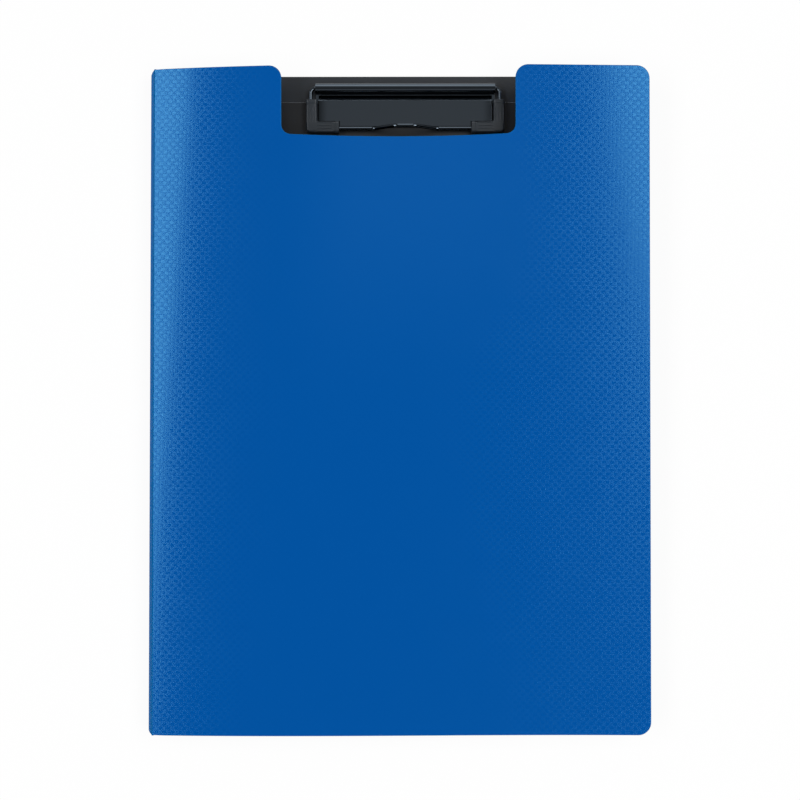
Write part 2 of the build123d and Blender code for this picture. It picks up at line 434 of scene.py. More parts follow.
def add_object(name: str, mesh: Mesh, material: Material) -> Object:
    """Put a mesh in the scene as an object of one material, smooth shaded.

    Args:
        name: The piece's name.
        mesh: Its mesh, in metres and in place.
        material: Its finish.

    Returns:
        The object.
    """
    mesh.materials.clear()
    mesh.materials.append(material)
    mesh.shade_smooth()
    piece = bpy.data.objects.new(name, mesh)
    bpy.context.scene.collection.objects.link(piece)
    return piece


def weigh_normals(piece: Object) -> None:
    """Keep flat faces flat beside their rounded edges."""
    normals = piece.modifiers.new("flat_faces", "WEIGHTED_NORMAL")
    normals.keep_sharp = True


def softened_copy(node: Object, name: str, edge_round: float, material: Material) -> Object:
    """Copy a CAD node's mesh as clean faces and round its sharp edges.

    Args:
        node: The CAD node's object.
        name: The new piece's name.
        edge_round: Radius of the rounding.
        material: The finish.

    Returns:
        The new piece.
    """
    shell = bmesh.new()
    shell.from_mesh(node.data)
    bmesh.ops.remove_doubles(shell, verts=shell.verts, dist=MERGE_DISTANCE * MM)
    bmesh.ops.dissolve_limit(
        shell, angle_limit=radians(FLAT_ANGLE), verts=shell.verts, edges=shell.edges
    )
    shell.verts.index_update()
    points = [vert.co.copy() for vert in shell.verts]
    faces = [[vert.index for vert in face.verts] for face in shell.faces]
    shell.free()
    mesh = bpy.data.meshes.new(name)
    mesh.from_pydata(points, [], faces)
    piece = add_object(name, mesh, material)
    mesh.set_sharp_from_angle(angle=radians(SHARP_ANGLE))
    bevel = piece.modifiers.new("rounded_edges", "BEVEL")
    bevel.width = edge_round * MM
    bevel.segments = ROUNDING_STEPS
    bevel.limit_method = "ANGLE"
    bevel.angle_limit = radians(ROUNDED_ANGLE)
    weigh_normals(piece)
    return piece


def report(piece: Object) -> None:
    """Log a finished piece with its face count."""
    LOG.info("%s: %d faces", piece.name, len(piece.data.polygons))


class FlatPattern:
    """The flat shape of a sheet as a grid of quads, which is then pressed to a thick sheet."""

    def __init__(self) -> None:
        """Start with no points."""
        self.points: list[tuple[float, float]] = []
        self.faces: list[tuple[int, int, int, int]] = []
        self.places: dict[tuple[float, float], int] = {}

    def point(self, x: float, y: float) -> int:
        """Give the number of the point at a place, and add it if it is new.

        Args:
            x: The place across.
            y: The place up.

        Returns:
            The point's number.
        """
        key = (round(x, PLACE_DECIMALS), round(y, PLACE_DECIMALS))
        if key not in self.places:
            self.places[key] = len(self.points)
            self.points.append((x, y))
        return self.places[key]

    def add_columns(self, columns: list[Point], rows: int) -> None:
        """Fill the space between columns with quads.

        Args:
            columns: Each column's x, lowest y and highest y, from left to right.
            rows: How many quads a column holds.
        """
        grid = [
            [self.point(x, low + (high - low) * row / rows) for row in range(rows + 1)]
            for x, low, high in columns
        ]
        for left, right in zip(grid, grid[1:]):
            for row in range(rows):
                self.faces.append((left[row], right[row], right[row + 1], left[row + 1]))

    def outline(self) -> list[int]:
        """Walk round the pattern's edge, against the clock.

        Returns:
            The numbers of the edge's points, each once.
        """
        steps = {}
        for face in self.faces:
            for start, end in zip(face, face[1:] + face[:1]):
                steps[(start, end)] = True
        following = {start: end for start, end in steps if (end, start) not in steps}
        loop = [next(iter(following))]
        while following[loop[-1]] != loop[0]:
            loop.append(following[loop[-1]])
        return loop


@dataclass
class CoverSheet:
    """The creased sheet: two covers and a spine, die-cut with slightly rounded edges."""

    frame: dict
    finish: Material
    # The spine's copy of the sheet's finish carries painted shade.
    shaded_spine_finish: Material
    thickness: float = 1.0
    edge_round: float = 0.32
    edge_steps: int = 3
    bead_sides: int = 24
    spine_width: float = 15.0
    spine_lean: float = 16.6
    spine_bulge: float = 0.5
    corner_radius: float = 6.1
    corner_steps: int = 10
    column_gap: float = 5.0
    row_count: int = 40
    tab_rows: int = 5
    notch_from_crease: float = 115.72
    notch_width: float = 110.1
    notch_depth: float = 34.0
    notch_bow: float = 1.5
    notch_corner_radius: float = 4.6
    notch_mouth_radius: float = 6.0
    top_angle_at_crease: float = 9.09
    top_angle_at_free_edge: float = -2.18
    bottom_angle_at_crease: float = 3.6
    bottom_angle_at_free_edge: float = 2.06
    top_edge_rise: float = 6.0
    bottom_edge_rise: float = 0.9

    def __post_init__(self) -> None:
        """Read the covers' places from the frame."""
        creases = {joint["name"]: joint["pos_m"] for joint in self.frame["joints"]}
        self.back_crease = Vector(creases["spine_hinge"]) / MM
        self.front_crease = Vector(creases["cover_hinge"]) / MM
        self.half_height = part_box("front_cover")[1].y / MM
        self.panel_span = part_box("front_cover")[1].x / MM - self.front_crease.x
        self.half_sheet = self.thickness / 2

    def build(self) -> list[Object]:
        """Make the three panels and give each its body.

        Returns:
            The panels.
        """
        pieces = [self.front_panel(), self.spine_panel(), self.back_panel()]
        nodes = ("front_cover", "spine", "back_cover")
        bodies = (Body.FRONT, Body.SPINE, Body.BACK)
        for piece, node, body in zip(pieces, nodes, bodies):
            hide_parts(node)
            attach(piece, body.value)
        return pieces

    def bow(self, across: float, rise: float, start_angle: float, end_angle: float) -> float:
        """Height of one end of the front cover over its crease, along a cubic curve.

        Args:
            across: Share of the way from the crease to the free edge.
            rise: The free edge's height over the crease.
            start_angle: Slope at the crease, in degrees.
            end_angle: Slope at the free edge, in degrees.

        Returns:
            The height in millimetres.
        """
        third = self.panel_span / 3
        first = tan(radians(start_angle)) * third
        second = rise - tan(radians(end_angle)) * third
        rest = 1 - across
        return 3 * first * rest**2 * across + 3 * second * rest * across**2 + rise * across**3

    def front_height(self, x: float, y: float) -> float:
        """Height of the front cover's middle layer at a place seen from above.

        Args:
            x: The place across.
            y: The place up the cover.

        Returns:
            The height in millimetres.
        """
        across = (x - self.front_crease.x) / self.panel_span
        along = (y + self.half_height) / (2 * self.half_height)
        top_angles = (self.top_angle_at_crease, self.top_angle_at_free_edge)
        bottom_angles = (self.bottom_angle_at_crease, self.bottom_angle_at_free_edge)
        top = self.bow(across, self.top_edge_rise, *top_angles)
        bottom = self.bow(across, self.bottom_edge_rise, *bottom_angles)
        return self.front_crease.z + bottom + (top - bottom) * along

    def spread(self, start: float, end: float) -> list[float]:
        """Even places from start to end, no further apart than the column gap."""
        count = max(2, round(abs(end - start) / self.column_gap))
        return [start + (end - start) * step / count for step in range(count + 1)]

    def arc(self, radius: float) -> list[tuple[float, float]]:
        """A quarter turn's offsets from its centre, from straight up to straight right."""
        turns = [pi / 2 * step / self.corner_steps for step in range(self.corner_steps + 1)]
        return [(radius * sin(turn), radius * cos(turn)) for turn in turns]

    def free_edge_columns(self, start: float, end: float, low: float, high: float) -> list[Point]:
        """Columns of a stretch that ends in the two rounded corners of a free edge.

        Args:
            start: The stretch's left end.
            end: The free edge.
            low: The bottom edge.
            high: The top edge.

        Returns:
            Each column's x, lowest y and highest y.
        """
        radius = self.corner_radius - self.edge_round
        straight = [(x, low, high) for x in self.spread(start, end - radius)]
        turned = [
            (end - radius + out, low + radius - up, high - radius + up)
            for out, up in self.arc(radius)[1:]
        ]
        return straight + turned

    def front_pattern(self) -> FlatPattern:
        """The front cover's shape, drawn in by the rounding of its edges.

        Returns:
            The pattern, in three fields of columns: below the notch, left of it and right of it.
        """
        inset = self.edge_round
        low, high = -self.half_height + inset, self.half_height - inset
        middle = self.front_crease.x + self.notch_from_crease
        left, right = (middle + side * (self.notch_width / 2 + inset) for side in (-1, 1))
        mouth, inner = self.notch_mouth_radius - inset, self.notch_corner_radius + inset
        floor = self.half_height - self.notch_depth - inset
        side_bottom = floor + self.notch_bow
        shelf = side_bottom + inner
        mouth_arc = [(left - mouth + out, high - mouth + up) for out, up in self.arc(mouth)]
        left_tab = [(x, high) for x in self.spread(self.front_crease.x, left - mouth)[:-1]]
        left_tab += mouth_arc
        right_tab = [(2 * middle - x, y) for x, y in reversed(mouth_arc)]
        free_edge = self.front_crease.x + self.panel_span - inset
        free = self.free_edge_columns(right + mouth, free_edge, low, high)
        corner = [(left + inner - up, shelf - out) for out, up in self.arc(inner)]
        half_floor = middle - left - inner
        bed = [
            (x, floor + self.notch_bow * ((x - middle) / half_floor) ** 2)
            for x in self.spread(left + inner, right - inner)[1:-1]
        ]
        far_corner = [(2 * middle - x, y) for x, y in reversed(corner)]
        pattern = FlatPattern()
        lower = [(x, low, shelf) for x, _ in left_tab]
        lower += [(x, low, y) for x, y in (corner + bed + far_corner)[1:]]
        lower += [(x, low, shelf) for x, _ in right_tab[1:]]
        lower += [(x, bottom, shelf) for x, bottom, _ in free[1:]]
        pattern.add_columns(lower, self.row_count)
        pattern.add_columns([(x, shelf, y) for x, y in left_tab], self.tab_rows)
        upper = [(x, shelf, y) for x, y in right_tab] + [(x, shelf, top) for x, _, top in free[1:]]
        pattern.add_columns(upper, self.tab_rows)
        return pattern

    def press(
        self, pattern: FlatPattern, height: Callable[[float, float], float], start: float, way: int
    ) -> BMesh:
        """Give a flat pattern its thickness, with rounded cut edges.

        Args:
            pattern: The sheet's shape, drawn in by the edge's rounding.
            height: Height of the sheet's middle layer at x, y.
            start: Where the pattern's x of 0 lies on the flat blank.
            way: 1 where the blank runs with x, and -1 where it runs against it.

        Returns:
            The closed shell, in millimetres, with its blank coordinates as an attribute.
        """
        shell = bmesh.new()
        shell.verts.layers.float_vector.new("flat")
        shell.verts.layers.float.new("cut")
        loop = pattern.outline()
        half, radius = self.half_sheet, self.edge_round
        turns = [pi / 2 * step / self.edge_steps for step in range(1, self.edge_steps + 1)]
        upper = [(radius * sin(turn), half - radius * (1 - cos(turn))) for turn in turns]
        rings = upper + [(out, -up) for out, up in reversed(upper)]
        tops, bottoms = (
            [
                self.add_point(shell, (x, y, height(x, y) + side * half), start + way * x, 0)
                for x, y in pattern.points
            ]
            for side in (1, -1)
        )
        for face in pattern.faces:
            shell.faces.new([tops[corner] for corner in face])
            shell.faces.new([bottoms[corner] for corner in reversed(face)])
        last = [tops[corner] for corner in loop]
        for out, up in rings:
            ring = []
            for place, corner in enumerate(loop):
                before = Vector(pattern.points[loop[place - 1]])
                after = Vector(pattern.points[loop[(place + 1) % len(loop)]])
                along = (after - before).normalized()
                x, y = pattern.points[corner]
                place_out = (x + along.y * out, y - along.x * out, height(x, y) + up)
                ring.append(self.add_point(shell, place_out, start + way * place_out[0], 1))
            self.stitch(shell, last, ring)
            last = ring
        self.stitch(shell, last, [bottoms[corner] for corner in loop])
        return shell

    def add_point(self, shell: BMesh, place: Point, blank: float, edge: float) -> BMVert:
        """Add a point to a panel's shell, with its place on the flat blank.

        Args:
            shell: The panel's shell.
            place: Where the point lies.
            blank: How far across the flat blank it lies, from the back crease.
            edge: 1 on a cut or creased edge and 0 on a face.

        Returns:
            The new point.
        """
        layers = shell.verts.layers
        vert = shell.verts.new(place)
        vert[layers.float_vector["flat"]] = (blank, place[1], 0)
        vert[layers.float["cut"]] = edge
        return vert

    def stitch(self, shell: BMesh, upper: list[BMVert], lower: list[BMVert]) -> None:
        """Join two closed rings of the same length with quads that face outwards.

        Args:
            shell: The panel's shell.
            upper: One ring's points in order.
            lower: The other ring's points in order.
        """
        for place in range(len(upper)):
            after = (place + 1) % len(upper)
            shell.faces.new((upper[place], lower[place], lower[after], upper[after]))

    def add_bead(self, shell: BMesh, x: float, z: float, blank: float) -> None:
        """Add the rounded outside of a crease to a panel's shell.

        Args:
            shell: The panel's shell.
            x: The crease's place.
            z: The crease's height.
            blank: The crease's place on the flat blank.
        """
        radius, end = self.half_sheet, self.half_height
        turns = [2 * pi * side / self.bead_sides for side in range(self.bead_sides)]
        circle = [(x + radius * cos(turn), z + radius * sin(turn)) for turn in turns]
        rings = []
        for row in range(self.row_count + 1):
            y = -end + 2 * end * row / self.row_count
            rings.append([self.add_point(shell, (px, y, pz), blank, 1) for px, pz in circle])
        for lower, upper in zip(rings, rings[1:]):
            self.stitch(shell, upper, lower)
        shell.faces.new(rings[0])
        shell.faces.new(reversed(rings[-1]))

    def finish_panel(self, name: str, shell: BMesh, finish: Material, place: Matrix) -> Object:
        """Turn a shell in millimetres into a finished piece.

        Args:
            name: The piece's name.
            shell: Its closed shell, which is freed.
            finish: Its material.
            place: Where it goes, in millimetres.

        Returns:
            The piece.
        """
        mesh = bpy.data.meshes.new(name)
        bmesh.ops.recalc_face_normals(shell, faces=shell.faces)
        shell.to_mesh(mesh)
        shell.free()
        mesh.transform(Matrix.Scale(MM, 4) @ place)
        piece = add_object(name, mesh, finish)
        weigh_normals(piece)
        return piece

    def front_panel(self) -> Object:
        """Bowed front cover with its notch and the crease at its edge.

        Returns:
            The piece.
        """
        start = self.spine_width - self.front_crease.x
        shell = self.press(self.front_pattern(), self.front_height, start, 1)
        self.add_bead(shell, self.front_crease.x, self.front_crease.z, self.spine_width)
        return self.finish_panel("front_panel", shell, self.finish, Matrix.Identity(4))

    def back_panel(self) -> Object:
        """Flat back cover with the other crease at its edge.

        Returns:
            The piece.
        """
        inset = self.edge_round
        low, high = -self.half_height + inset, self.half_height - inset
        end = self.back_crease.x + self.panel_span - inset
        columns = self.free_edge_columns(self.back_crease.x, end, low, high)
        pattern = FlatPattern()
        pattern.add_columns(columns, self.row_count)
        shell = self.press(pattern, lambda x, y: self.back_crease.z, self.back_crease.x, -1)
        self.add_bead(shell, self.back_crease.x, self.back_crease.z, 0)
        return self.finish_panel("back_panel", shell, self.finish, Matrix.Identity(4))

    def spine_panel(self) -> Object:
        """Slightly bulging spine between the two creases.

        Returns:
            The piece.
        """
        inset = self.edge_round
        low, high = -self.half_height + inset, self.half_height - inset
        columns = [(x, low, high) for x in self.spread(inset, self.spine_width - inset)]
        pattern = FlatPattern()
        pattern.add_columns(columns, self.row_count)
        shell = self.press(pattern, self.spine_height, 0, 1)
        upright = Matrix.Rotation(radians(self.spine_lean - 90), 4, "Y")
        place = Matrix.Translation(self.back_crease) @ upright
        return self.finish_panel("spine_panel", shell, self.shaded_spine_finish, place)

    def spine_height(self, x: float, y: float) -> float:
        """How far the spine's middle layer bulges out at a distance from the back crease."""
        across = 2 * x / self.spine_width - 1
        return self.spine_bulge * (1 - across**2)


@dataclass
class BoardStack:
    """The stiff board and the thin sheet that lines it."""

    frame: dict
    board_finish: Material
    liner_finish: Material
    film_edge_highlight_finish: Material
    board_round: float = 0.35
    liner_round: float = 0.19

    def build(self) -> list[Object]:
        """Round the edges of both and let them ride with the back cover.

        Returns:
            The board and its liner.
        """
        nodes = self.frame["nodes"]
        board = softened_copy(
            nodes["backing_board"], "clip_board", self.board_round, self.board_finish
        )
        liner = softened_copy(
            nodes["board_liner"], "lining_sheet", self.liner_round, self.liner_finish
        )
        # The liner's rim faces take the pale grey finish: a painted highlight along the film's
        # edge.
        liner.data.materials.append(self.film_edge_highlight_finish)
        for face in liner.data.polygons:
            face.material_index = int(abs(face.normal.z) < RIM_NORMAL_BELOW)
        rounding = liner.modifiers["rounded_edges"]
        rounding.material = 1
        rounding.use_clamp_overlap = False
        pairs = ((board, "backing_board", "board"), (liner, "board_liner", "liner"))
        for piece, node, slot in pairs:
            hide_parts(node)
            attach(piece, Body.BACK.value)
        return [board, liner]


@dataclass
class BailClip:
    """The clip: pressed base, wire bail and two ribbed corner caps."""

    frame: dict
    base_finish: Material
    wire_finish: Material
    cap_finish: Material
    base_round: float = 0.12
    pad_half_width: float = 41.95
    pad_from_barrel: float = 5.0
    pad_rise_below_barrel: float = 2.0
    droop: float = 0.15
    droop_run: float = 4.7
    droop_steps: int = 8
    wire_radius: float = 0.95
    wire_bend_radius: float = 2.3
    wire_bend_steps: int = 10
    wire_end_gap: float = 24.0
    arch_base_width: float = 30.0
    arch_top_width: float = 9.2
    arch_bend_radius: float = 5.0
    cap_round: float = 0.2
    cap_width: float = 5.3
    collar_flare: float = 0.25
    rib_count: int = 4
    rib_pitch: float = 1.4
    rib_radius: float = 0.34
    rib_sink: float = 0.14
    rib_start: float = 4.2
    rib_run: float = 9.6

    def __post_init__(self) -> None:
        """Read the clip's places from the frame."""
        barrel = next(j for j in self.frame["joints"] if j["name"] == "bail_hinge")
        self.barrel = Vector(barrel["pos_m"]) / MM
        low, high = (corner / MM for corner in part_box("bail_wire"))
        self.half_width = (high.x - low.x) / 2 - self.wire_radius
        self.front_y = low.y + self.wire_radius
        self.arch_z = high.z - self.wire_radius

    def build(self) -> list[Object]:
        """Make the base, the wire, the caps and their ribs.

        Returns:
            The pieces.
        """
        nodes = self.frame["nodes"]
        base = softened_copy(nodes["clip_base"], "clip_plate", self.base_round, self.base_finish)
        self.droop_ends(base)
        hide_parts("clip_base")
        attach(base, Body.BACK.value)
        wire = self.wire()
        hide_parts("bail_wire")
        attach(wire, Body.BAIL.value)
        pieces = [base, wire]
        for side, name in ((-1, "left"), (1, "right")):
            node = f"corner_cap_{name}"
            cap = softened_copy(nodes[node], f"vinyl_cap_{name}", self.cap_round, self.cap_finish)
            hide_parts(node)
            ribs = self.ribs(node, side, f"cap_ribs_{name}")
            for piece in (cap, ribs):
                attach(piece, Body.BAIL.value)
                pieces.append(piece)
        return pieces

    def droop_ends(self, plate: Object) -> None:
        """Let both ends of the raised pad fall a little, as the press leaves them.

        Args:
            plate: The clip's base, whose mesh is changed.
        """
        shell = bmesh.new()
        shell.from_mesh(plate.data)
        level_end = self.pad_half_width - self.droop_run
        for step in range(self.droop_steps):
            out = level_end + self.droop_run * step / self.droop_steps
            for side in (-1, 1):
                bmesh.ops.bisect_plane(
                    shell,
                    geom=shell.verts[:] + shell.edges[:] + shell.faces[:],
                    plane_co=((self.barrel.x + side * out) * MM, 0, 0),
                    plane_no=(1, 0, 0),
                )
        foot = self.barrel.z - self.pad_rise_below_barrel
        for vert in shell.verts:
            x, y, z = vert.co / MM
            share = max(0.0, abs(x - self.barrel.x) - level_end) / self.droop_run
            if y < self.barrel.y - self.pad_from_barrel and z > foot:
                vert.co.z -= self.droop * min(share, 1.0) ** 2 * MM
        shell.to_mesh(plate.data)
        shell.free()

    def wire(self) -> Object:
        """Round wire along the bail's path, by a geometry tree.

        Returns:
            The wire.
        """
        half_gap, side = self.wire_end_gap / 2, self.half_width
        bend, arch = self.wire_bend_radius, self.arch_bend_radius
        level, front = self.barrel.z, self.front_y
        half = [
            (half_gap, self.barrel.y, level, 0.0),
            (side, self.barrel.y, level, bend),
            (side, front, level, bend),
            (self.arch_base_width / 2, front, level, arch),
            (self.arch_top_width / 2, front, self.arch_z, arch),
        ]
        corners = [(self.barrel.x + x, y, z, r) for x, y, z, r in half]
        corners += [(self.barrel.x - x, y, z, r) for x, y, z, r in reversed(half)]
        path = bpy.data.meshes.new("bail_path")
        points = [Vector(corner[:3]) * MM for corner in corners]
        path.from_pydata(points, [(i, i + 1) for i in range(len(points) - 1)], [])
        bends = path.attributes.new("bend", "FLOAT", "POINT")
        bends.data.foreach_set("value", [corner[3] * MM for corner in corners])
        given = {
            "Radius": self.wire_radius * MM,
            "Bend steps": self.wire_bend_steps,
            "Material": self.wire_finish,
        }
        return grow_mesh("bail_rod", path, wire_tree(), given)

    def ribs(self, node: str, side: int, name: str) -> Object:
        """Grip ribs on the upper and lower faces of one cap's two arms.

        Args:
            node: The cap's CAD node.
            side: -1 for the left cap and 1 for the right one.
            name: The piece's name.

        Returns:
            The ribs as one mesh.
        """
        low, high = (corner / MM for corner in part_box(node))
        middle = (low.z + high.z) / 2
        half_thick = middle - low.z - self.collar_flare
        outer_x = (high.x if side > 0 else low.x) - side * self.collar_flare
        outer_y = low.y + self.collar_flare
        rows = []
        for face in (-1, 1):
            z = middle + face * (half_thick - self.rib_radius + self.rib_sink)
            across = (self.rib_count - 1) / 2 * self.rib_pitch
            first_x = outer_x - side * (self.cap_width / 2 + across)
            first_y = outer_y + self.cap_width / 2 - across
            rows.append((Arm.UP, (first_x, outer_y + self.rib_start, z)))
            rows.append((Arm.ACROSS, (outer_x - side * self.rib_start, first_y, z)))
        tree = rib_tree()
        shells = []
        for arm, start in rows:
            up = arm is Arm.UP
            run = (0, self.rib_run, 0) if up else (-side * self.rib_run, 0, 0)
            step = (side * self.rib_pitch, 0, 0) if up else (0, self.rib_pitch, 0)
            places = {"First": start, "Step": step, "Run": run}
            given = {label: [value * MM for value in place] for label, place in places.items()}
            given["Count"] = self.rib_count
            given["Radius"] = self.rib_radius * MM
            given["Material"] = self.cap_finish
            shells.append(grow_mesh(name, bpy.data.meshes.new(name), tree, given))
        return join(name, shells)


def join(name: str, pieces: list[Object]) -> Object:
    """Join meshes that share a finish into one piece.

    Args:
        name: The piece's name.
        pieces: The objects to join, which are removed.

    Returns:
        The joined piece.
    """
    shell = bmesh.new()
    for piece in pieces:
        shell.from_mesh(piece.data)
    material = pieces[0].data.materials[0]
    for piece in pieces:
        bpy.data.objects.remove(piece)
    mesh = bpy.data.meshes.new(name)
    shell.to_mesh(mesh)
    shell.free()
    return add_object(name, mesh, material)


def grow_mesh(name: str, seed: Mesh, tree: NodeTree, values: dict) -> Object:
    """Run a geometry tree on a seed mesh and keep the result as a plain mesh.

    Args:
        name: The new piece's name.
        seed: The mesh that the tree starts from.
        tree: The geometry tree.
        values: The tree's input names to their values.

    Returns:
        The piece, with no modifier left.
    """
    carrier = bpy.data.objects.new(name + "_seed", seed)
    bpy.context.scene.collection.objects.link(carrier)
    modifier = carrier.modifiers.new("grow", "NODES")
    modifier.node_group = tree
    for item in tree.interface.items_tree:
        if item.item_type == "SOCKET" and item.in_out == "INPUT" and item.name in values:
            modifier[item.identifier] = values[item.name]
    bpy.context.view_layer.update()
    evaluated = carrier.evaluated_get(bpy.context.evaluated_depsgraph_get())
    mesh = bpy.data.meshes.new_from_object(evaluated)
    mesh.name = name
    material = values["Material"]
    bpy.data.objects.remove(carrier)
    return add_object(name, mesh, material)


def geometry_tree(name: str, inputs: dict[str, str]) -> tuple[NodeTree, Node]:
    """Start a geometry tree with named inputs.

    Args:
        name: The tree's name.
        inputs: Input names to kinds of socket, such as "Float".

    Returns:
        The tree and its input node.
    """
    tree = bpy.data.node_groups.new(name, "GeometryNodeTree")
    tree.interface.new_socket("Geometry", in_out="INPUT", socket_type="NodeSocketGeometry")
    for label, kind in inputs.items():
        tree.interface.new_socket(label, in_out="INPUT", socket_type="NodeSocket" + kind)
    tree.interface.new_socket("Geometry", in_out="OUTPUT", socket_type="NodeSocketGeometry")
    return tree, add_node(tree, "NodeGroupInput")


def close_tree(tree: NodeTree, geometry: NodeSocket, material: NodeSocket) -> None:
    """End a geometry tree in real geometry with its material.

    Args:
        tree: The geometry tree.
        geometry: The output socket of the shape.
        material: The output socket of its material.
    """
    real = add_node(tree, "GeometryNodeRealizeInstances", {"Geometry": geometry})
    dressed = add_node(
        tree,
        "GeometryNodeSetMaterial",
        {"Geometry": real.outputs["Geometry"], "Material": material},
    )
    add_node(tree, "NodeGroupOutput", {"Geometry": dressed.outputs["Geometry"]})


def wire_tree() -> NodeTree:
    """A tree that runs round wire along a path, with a bend at each corner.

    Returns:
        The tree.
    """
    kinds = {"Radius": "Float", "Bend steps": "Int", "Material": "Material"}
    tree, given = geometry_tree("round_wire", kinds)
    path = add_node(tree, "GeometryNodeMeshToCurve", {"Mesh": given.outputs["Geometry"]})
    bend = add_node(tree, "GeometryNodeInputNamedAttribute", {"Name": "bend"}, data_type="FLOAT")
    bent = add_node(
        tree,
        "GeometryNodeFilletCurve",
        {
            "Curve": path.outputs["Curve"],
            "Count": given.outputs["Bend steps"],
            "Radius": bend.outputs["Attribute"],
        },
        mode="POLY",
    )
    section = add_node(
        tree,
        "GeometryNodeCurvePrimitiveCircle",
        {"Resolution": WIRE_SIDES, "Radius": given.outputs["Radius"]},
    )
    rod = add_node(
        tree,
        "GeometryNodeCurveToMesh",
        {
            "Curve": bent.outputs["Curve"],
            "Profile Curve": section.outputs["Curve"],
            "Fill Caps": True,
        },
    )
    close_tree(tree, rod.outputs["Mesh"], given.outputs["Material"])
    return tree


def rib_tree() -> NodeTree:
    """A tree that lays a row of round ribs with drawn-in ends side by side.

    Returns:
        The tree.
    """
    kinds = {"Count": "Int", "First": "Vector", "Step": "Vector", "Run": "Vector"}
    kinds |= {"Radius": "Float", "Material": "Material"}
    tree, given = geometry_tree("rib_row", kinds)
    places = add_node(
        tree,
        "GeometryNodeMeshLine",
        {
            "Count": given.outputs["Count"],
            "Start Location": given.outputs["First"],
            "Offset": given.outputs["Step"],
        },
    )
    line = add_node(tree, "GeometryNodeCurvePrimitiveLine", {"End": given.outputs["Run"]})
    even = add_node(
        tree, "GeometryNodeResampleCurve", {"Curve": line.outputs["Curve"], "Count": RIB_STEPS}
    )
    swell = add_node(tree, "GeometryNodeSplineParameter").outputs["Factor"]
    # The share along a rib turns to -1 to 1, then to how thick the rib is there.
    for operation, *values in (
        ("SUBTRACT", 0.5),
        ("MULTIPLY", 2.0),
        ("ABSOLUTE",),
        ("POWER", RIB_END_POWER),
        ("MULTIPLY_ADD", -RIB_END_DRAW, 1.0),
    ):
        inputs = dict(enumerate((swell, *values)))
        swell = add_node(tree, "ShaderNodeMath", inputs, operation=operation).outputs[0]
    tapered = add_node(
        tree,
        "GeometryNodeSetCurveRadius",
        {"Curve": even.outputs["Curve"], "Radius": swell},
    )
    section = add_node(
        tree,
        "GeometryNodeCurvePrimitiveCircle",
        {"Resolution": RIB_SIDES, "Radius": given.outputs["Radius"]},
    )
    rib = add_node(
        tree,
        "GeometryNodeCurveToMesh",
        {
            "Curve": tapered.outputs["Curve"],
            "Profile Curve": section.outputs["Curve"],
            "Scale": swell,
            "Fill Caps": True,
        },
    )
    row = add_node(
        tree,
        "GeometryNodeInstanceOnPoints",
        {"Points": places.outputs["Mesh"], "Instance": rib.outputs["Mesh"]},
    )
    close_tree(tree, row.outputs["Instances"], given.outputs["Material"])
    return tree


@dataclass(frozen=True)
class Softbox:
    """A rectangular light over the table, which faces straight down."""

    name: str
    place: Point
    size: tuple[float, float]
    radiance: float
    turn: float = 0.0

    def hang(self) -> None:
        """Put it in the scene. White paper in plain light has a radiance of 1."""
        data = bpy.data.lights.new(self.name, "AREA")
        data.shape = "RECTANGLE"
        data.size, data.size_y = (side * MM for side in self.size)
        data.energy = self.radiance * pi * data.size * data.size_y
        lamp = bpy.data.objects.new(self.name, data)
        lamp.location = Vector(self.place) * MM
        lamp.rotation_euler = (0, 0, radians(self.turn))
        bpy.context.scene.collection.objects.link(lamp)


